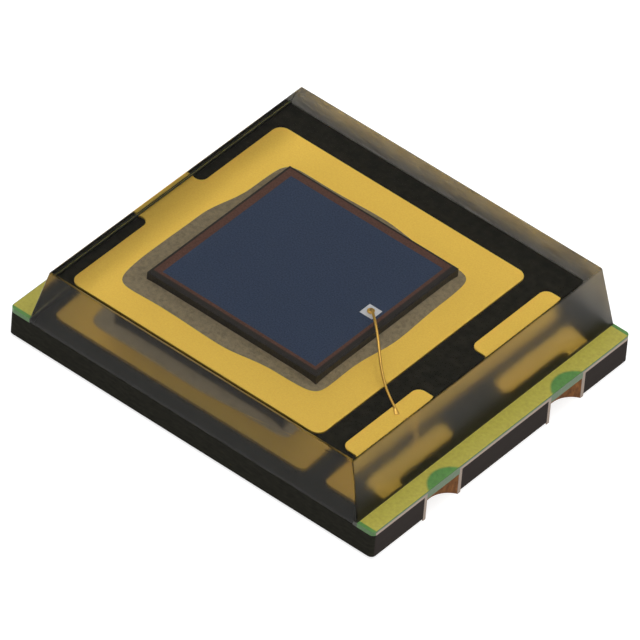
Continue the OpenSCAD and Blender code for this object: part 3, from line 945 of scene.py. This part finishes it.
class AttachOperator(bpy.types.Operator):
    """Makes the silver epoxy squeezed out round the die."""

    bl_idname = "photodiode.attach"
    bl_label = "Die Attach"

    def execute(self, context):
        points, faces = attach_surface(context.scene.photodiode_attach)
        material = silver_epoxy_material(context.scene.photodiode_colours)
        add_piece("squeeze_out", points, faces, material, "die_attach")
        return {"FINISHED"}


class WireOperator(bpy.types.Operator):
    """Makes the bond wire with its ball and its stitch."""

    bl_idname = "photodiode.wire"
    bl_label = "Bond Wire"

    def execute(self, context):
        points, faces = wire_surface(context.scene.photodiode_wire)
        colour = context.scene.photodiode_colours.wire
        material = grained_material(
            "wire_gold", colour, contrast=0.08, scale=60000.0, depth=0.0005 * MM,
            metallic=1.0, roughness=0.3)
        add_piece("wire_loop", points, faces, material, "bond_wire")
        return {"FINISHED"}


class BlockOperator(bpy.types.Operator):
    """Makes the clear block."""

    bl_idname = "photodiode.block"
    bl_label = "Clear Block"

    def execute(self, context):
        block = context.scene.photodiode_block
        points, faces = block_surface(block)
        material = clear_epoxy_material(block, context.scene.photodiode_colours)
        piece = add_piece(
            "clear_block", points, faces, material, "encapsulant", smooth=False)
        store_haze(piece.data, block)
        return {"FINISHED"}


# Stage

def floor_surface(stage):
    """A round floor that turns up into a low wall.

    A disc of the floor's radius, then a quarter circle of the cove's radius, carried round the Z axis.
    """
    middle_radius = 0.001
    cove_rings = 12
    sides = 96
    turn = np.linspace(0, math.pi / 2, cove_rings)
    radii = np.concatenate([[middle_radius], stage.floor_radius + stage.cove_radius * np.sin(turn)])
    heights = np.concatenate([[0.0], stage.cove_radius * (1 - np.cos(turn))])
    bearing = np.linspace(0, 2 * math.pi, sides, endpoint=False)
    points = np.stack([
        radii[:, None] * np.cos(bearing),
        radii[:, None] * np.sin(bearing),
        np.broadcast_to(heights[:, None], (len(radii), sides)),
    ], axis=-1)
    faces = ring_quads(len(radii), sides) + [list(range(sides))[::-1]]
    return points.reshape(-1, 3), [face[::-1] for face in faces]


def floor_material(stage):
    """Pale floor that looks white where it is seen or mirrored, and still takes the part's shadow."""
    material, nodes, links, shader = new_material("pale_floor")
    shader.inputs["Base Color"].default_value = (*stage.floor_colour, 1.0)
    shader.inputs["Roughness"].default_value = 0.9
    shader.inputs["Specular IOR Level"].default_value = 0.0
    glow = nodes.new("ShaderNodeEmission")
    glow.inputs["Strength"].default_value = stage.floor_glow
    path = nodes.new("ShaderNodeLightPath")
    rays = path.outputs
    seen = add_math(nodes, links, "MAXIMUM", rays["Is Camera Ray"], rays["Is Glossy Ray"])
    shown = add_math(nodes, links, "MAXIMUM", seen, rays["Is Transmission Ray"])
    dark = nodes.new("ShaderNodeEmission")
    dark.inputs["Strength"].default_value = 0.0
    switch = nodes.new("ShaderNodeMixShader")
    links.new(shown, switch.inputs["Fac"])
    links.new(dark.outputs["Emission"], switch.inputs[1])
    links.new(glow.outputs["Emission"], switch.inputs[2])
    total = nodes.new("ShaderNodeAddShader")
    links.new(shader.outputs["BSDF"], total.inputs[0])
    links.new(switch.outputs["Shader"], total.inputs[1])
    links.new(total.outputs["Shader"], nodes["Material Output"].inputs["Surface"])
    return material


def add_softbox(name, place, size, power):
    """A square soft light that faces the part."""
    light = bpy.data.lights.new(name, "AREA")
    light.shape = "SQUARE"
    light.size = size
    light.energy = power
    lamp = bpy.data.objects.new(name, light)
    lamp.location = place
    lamp.rotation_euler = Vector(place).to_track_quat("Z", "Y").to_euler()
    bpy.context.scene.collection.objects.link(lamp)


def add_camera(stage):
    """A camera at the photograph's bearing, height and roll."""
    azimuth, elevation = stage.azimuth, stage.elevation
    back = Vector((math.sin(azimuth) * math.cos(elevation),
                   -math.cos(azimuth) * math.cos(elevation),
                   math.sin(elevation)))
    level = Vector((math.cos(azimuth), math.sin(azimuth), 0.0))
    above = back.cross(level)
    right = math.cos(stage.roll) * level + math.sin(stage.roll) * above
    up = math.cos(stage.roll) * above - math.sin(stage.roll) * level
    data = bpy.data.cameras.new("camera")
    data.sensor_width = SENSOR_WIDTH
    data.lens = stage.lens
    data.clip_start = 0.001
    camera = bpy.data.objects.new("camera", data)
    turn = Matrix((right, up, back)).transposed().to_4x4()
    eye = back * stage.distance + right * stage.offset[0] + up * stage.offset[1]
    camera.matrix_world = Matrix.Translation(eye) @ turn
    bpy.context.scene.collection.objects.link(camera)
    bpy.context.scene.camera = camera


class StageOperator(bpy.types.Operator):
    """Sets the floor, the lights and the camera."""

    bl_idname = "photodiode.stage"
    bl_label = "Stage"

    def execute(self, context):
        scene = context.scene
        stage = scene.photodiode_stage
        scene.view_settings.view_transform = "Standard"
        points, faces = floor_surface(stage)
        floor = add_mesh("floor", points, faces, floor_material(stage))
        world = bpy.data.worlds.new("sky")
        world.use_nodes = True
        background = world.node_tree.nodes["Background"]
        background.inputs["Color"].default_value = WHITE
        background.inputs["Strength"].default_value = stage.sky
        scene.world = world
        add_softbox("top_light", place=(0.0, 0.0, 0.25), size=0.3, power=stage.top_light)
        add_softbox("side_light", place=(0.25, -0.06, 0.14), size=0.16, power=stage.side_light)
        add_camera(stage)
        return {"FINISHED"}


# Panel and registration

class PhotodiodePanel(bpy.types.Panel):
    """Lists the steps that dress the photodiode."""

    bl_idname = "VIEW3D_PT_photodiode"
    bl_label = "Photodiode"
    bl_space_type = "VIEW_3D"
    bl_region_type = "UI"
    bl_category = "Photodiode"

    def draw(self, context):
        for step in STEPS:
            self.layout.operator(step.bl_idname)


GROUPS = {
    "photodiode_block": PhotodiodeBlock,
    "photodiode_wire": PhotodiodeWire,
    "photodiode_attach": PhotodiodeAttach,
    "photodiode_colours": PhotodiodeColours,
    "photodiode_stage": PhotodiodeStage,
}
STEPS = (
    BoardOperator, ConductorsOperator, FilmOperator, DieOperator,
    AttachOperator, WireOperator, BlockOperator, StageOperator,
)


def register():
    """Registers the settings, the steps and the panel."""
    for name, group in GROUPS.items():
        bpy.utils.register_class(group)
        setattr(bpy.types.Scene, name, PointerProperty(type=group))
    for step in STEPS:
        bpy.utils.register_class(step)
    bpy.utils.register_class(PhotodiodePanel)


def unregister():
    """Takes them away again."""
    bpy.utils.unregister_class(PhotodiodePanel)
    for step in reversed(STEPS):
        bpy.utils.unregister_class(step)
    for name, group in reversed(GROUPS.items()):
        delattr(bpy.types.Scene, name)
        bpy.utils.unregister_class(group)


def main():
    """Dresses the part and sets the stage."""
    register()
    bpy.ops.photodiode.board()
    bpy.ops.photodiode.conductors()
    bpy.ops.photodiode.film()
    bpy.ops.photodiode.die()
    bpy.ops.photodiode.attach()
    bpy.ops.photodiode.wire()
    bpy.ops.photodiode.block()
    bpy.ops.photodiode.stage()


if __name__ == "__main__":
    main()
